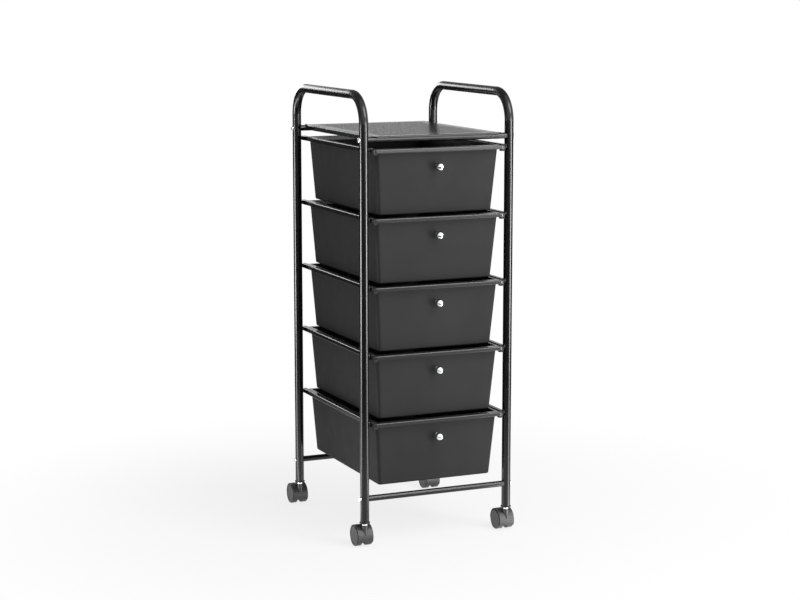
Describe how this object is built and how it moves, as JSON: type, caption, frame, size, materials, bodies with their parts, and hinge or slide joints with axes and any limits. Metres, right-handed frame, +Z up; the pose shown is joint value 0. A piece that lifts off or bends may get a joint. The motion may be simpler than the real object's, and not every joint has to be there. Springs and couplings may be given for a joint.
{
  "type": "rolling salon trolley",
  "caption": "Tall narrow rolling trolley: two bent-tube hoops carry pull-out moulded drawers on channel rails under a perforated sheet shelf, on swivelling twin-wheel casters.",
  "frame": {"origin": "on the floor, below the centre of the overall bounding box with the drawers closed; the middle of the four legs is 9 mm in front of it", "axes": "+X to the right seen from the drawers' front, +Z up; the drawer fronts and knobs face -Y and the casters trail towards +Y"},
  "size_m": [0.3466, 0.4196, 0.9],
  "materials": {
    "frame_powder_coat": "semi-gloss black powder coat",
    "shelf_powder_coat": "satin black powder coat on perforated sheet",
    "drawer_plastic": "fine-grained black polypropylene",
    "knob_chrome": "polished chrome plating",
    "zinc_plated_steel": "bright zinc plating",
    "stem_steel": "bright turned steel",
    "plug_plastic": "matte black plastic",
    "caster_plastic": "satin charcoal nylon"
  },
  "bodies": {
    "root": {"left_frame_hoop": "frame_powder_coat", "right_frame_hoop": "frame_powder_coat", "left_rail_1": "frame_powder_coat", "left_rail_2": "frame_powder_coat", "left_rail_3": "frame_powder_coat", "left_rail_4": "frame_powder_coat", "left_rail_5": "frame_powder_coat", "right_rail_1": "frame_powder_coat", "right_rail_2": "frame_powder_coat", "right_rail_3": "frame_powder_coat", "right_rail_4": "frame_powder_coat", "right_rail_5": "frame_powder_coat", "shelf_front_bar": "frame_powder_coat", "shelf_rear_bar": "frame_powder_coat", "bottom_front_bar": "frame_powder_coat", "bottom_rear_bar": "frame_powder_coat", "bar_inserts": "zinc_plated_steel", "bar_screws": "zinc_plated_steel", "shelf_panel": "shelf_powder_coat", "leg_plug_front_left": "plug_plastic", "leg_plug_front_right": "plug_plastic", "leg_plug_rear_left": "plug_plastic", "leg_plug_rear_right": "plug_plastic", "caster_stem_front_left": "stem_steel", "caster_stem_front_right": "stem_steel", "caster_stem_rear_left": "stem_steel", "caster_stem_rear_right": "stem_steel"},
    "drawer_1": {"drawer_1": "drawer_plastic", "drawer_knob_1": "knob_chrome", "knob_screw_1": "zinc_plated_steel"},
    "drawer_2": {"drawer_2": "drawer_plastic", "drawer_knob_2": "knob_chrome", "knob_screw_2": "zinc_plated_steel"},
    "drawer_3": {"drawer_3": "drawer_plastic", "drawer_knob_3": "knob_chrome", "knob_screw_3": "zinc_plated_steel"},
    "drawer_4": {"drawer_4": "drawer_plastic", "drawer_knob_4": "knob_chrome", "knob_screw_4": "zinc_plated_steel"},
    "drawer_5": {"drawer_5": "drawer_plastic", "drawer_knob_5": "knob_chrome", "knob_screw_5": "zinc_plated_steel"},
    "caster_front_left": {"caster_hood_front_left": "caster_plastic", "caster_axle_front_left": "stem_steel"},
    "wheel_front_left_left": {"caster_wheel_front_left_left": "caster_plastic"},
    "wheel_front_left_right": {"caster_wheel_front_left_right": "caster_plastic"},
    "caster_front_right": {"caster_hood_front_right": "caster_plastic", "caster_axle_front_right": "stem_steel"},
    "wheel_front_right_left": {"caster_wheel_front_right_left": "caster_plastic"},
    "wheel_front_right_right": {"caster_wheel_front_right_right": "caster_plastic"},
    "caster_rear_left": {"caster_hood_rear_left": "caster_plastic", "caster_axle_rear_left": "stem_steel"},
    "wheel_rear_left_left": {"caster_wheel_rear_left_left": "caster_plastic"},
    "wheel_rear_left_right": {"caster_wheel_rear_left_right": "caster_plastic"},
    "caster_rear_right": {"caster_hood_rear_right": "caster_plastic", "caster_axle_rear_right": "stem_steel"},
    "wheel_rear_right_left": {"caster_wheel_rear_right_left": "caster_plastic"},
    "wheel_rear_right_right": {"caster_wheel_rear_right_right": "caster_plastic"}
  },
  "joints": [
    {"name": "drawer_1_slide", "type": "slide", "parent": "root", "child": "drawer_1", "axis": [0, -1, 0], "range_m": [0, 0.26]},
    {"name": "drawer_2_slide", "type": "slide", "parent": "root", "child": "drawer_2", "axis": [0, -1, 0], "range_m": [0, 0.26]},
    {"name": "drawer_3_slide", "type": "slide", "parent": "root", "child": "drawer_3", "axis": [0, -1, 0], "range_m": [0, 0.26]},
    {"name": "drawer_4_slide", "type": "slide", "parent": "root", "child": "drawer_4", "axis": [0, -1, 0], "range_m": [0, 0.26]},
    {"name": "drawer_5_slide", "type": "slide", "parent": "root", "child": "drawer_5", "axis": [0, -1, 0], "range_m": [0, 0.26]},
    {"name": "caster_front_left_swivel", "type": "hinge", "parent": "root", "child": "caster_front_left", "pos_m": [-0.156, -0.189, 0.04], "axis": [0, 0, 1], "continuous": true},
    {"name": "wheel_front_left_left_spin", "type": "hinge", "parent": "caster_front_left", "child": "wheel_front_left_left", "pos_m": [-0.167, -0.173, 0.02], "axis": [1, 0, 0], "continuous": true},
    {"name": "wheel_front_left_right_spin", "type": "hinge", "parent": "caster_front_left", "child": "wheel_front_left_right", "pos_m": [-0.145, -0.173, 0.02], "axis": [1, 0, 0], "continuous": true},
    {"name": "caster_front_right_swivel", "type": "hinge", "parent": "root", "child": "caster_front_right", "pos_m": [0.156, -0.189, 0.04], "axis": [0, 0, 1], "continuous": true},
    {"name": "wheel_front_right_left_spin", "type": "hinge", "parent": "caster_front_right", "child": "wheel_front_right_left", "pos_m": [0.145, -0.173, 0.02], "axis": [1, 0, 0], "continuous": true},
    {"name": "wheel_front_right_right_spin", "type": "hinge", "parent": "caster_front_right", "child": "wheel_front_right_right", "pos_m": [0.167, -0.173, 0.02], "axis": [1, 0, 0], "continuous": true},
    {"name": "caster_rear_left_swivel", "type": "hinge", "parent": "root", "child": "caster_rear_left", "pos_m": [-0.156, 0.171, 0.04], "axis": [0, 0, 1], "continuous": true},
    {"name": "wheel_rear_left_left_spin", "type": "hinge", "parent": "caster_rear_left", "child": "wheel_rear_left_left", "pos_m": [-0.167, 0.187, 0.02], "axis": [1, 0, 0], "continuous": true},
    {"name": "wheel_rear_left_right_spin", "type": "hinge", "parent": "caster_rear_left", "child": "wheel_rear_left_right", "pos_m": [-0.145, 0.187, 0.02], "axis": [1, 0, 0], "continuous": true},
    {"name": "caster_rear_right_swivel", "type": "hinge", "parent": "root", "child": "caster_rear_right", "pos_m": [0.156, 0.171, 0.04], "axis": [0, 0, 1], "continuous": true},
    {"name": "wheel_rear_right_left_spin", "type": "hinge", "parent": "caster_rear_right", "child": "wheel_rear_right_left", "pos_m": [0.145, 0.187, 0.02], "axis": [1, 0, 0], "continuous": true},
    {"name": "wheel_rear_right_right_spin", "type": "hinge", "parent": "caster_rear_right", "child": "wheel_rear_right_right", "pos_m": [0.167, 0.187, 0.02], "axis": [1, 0, 0], "continuous": true}
  ]
}
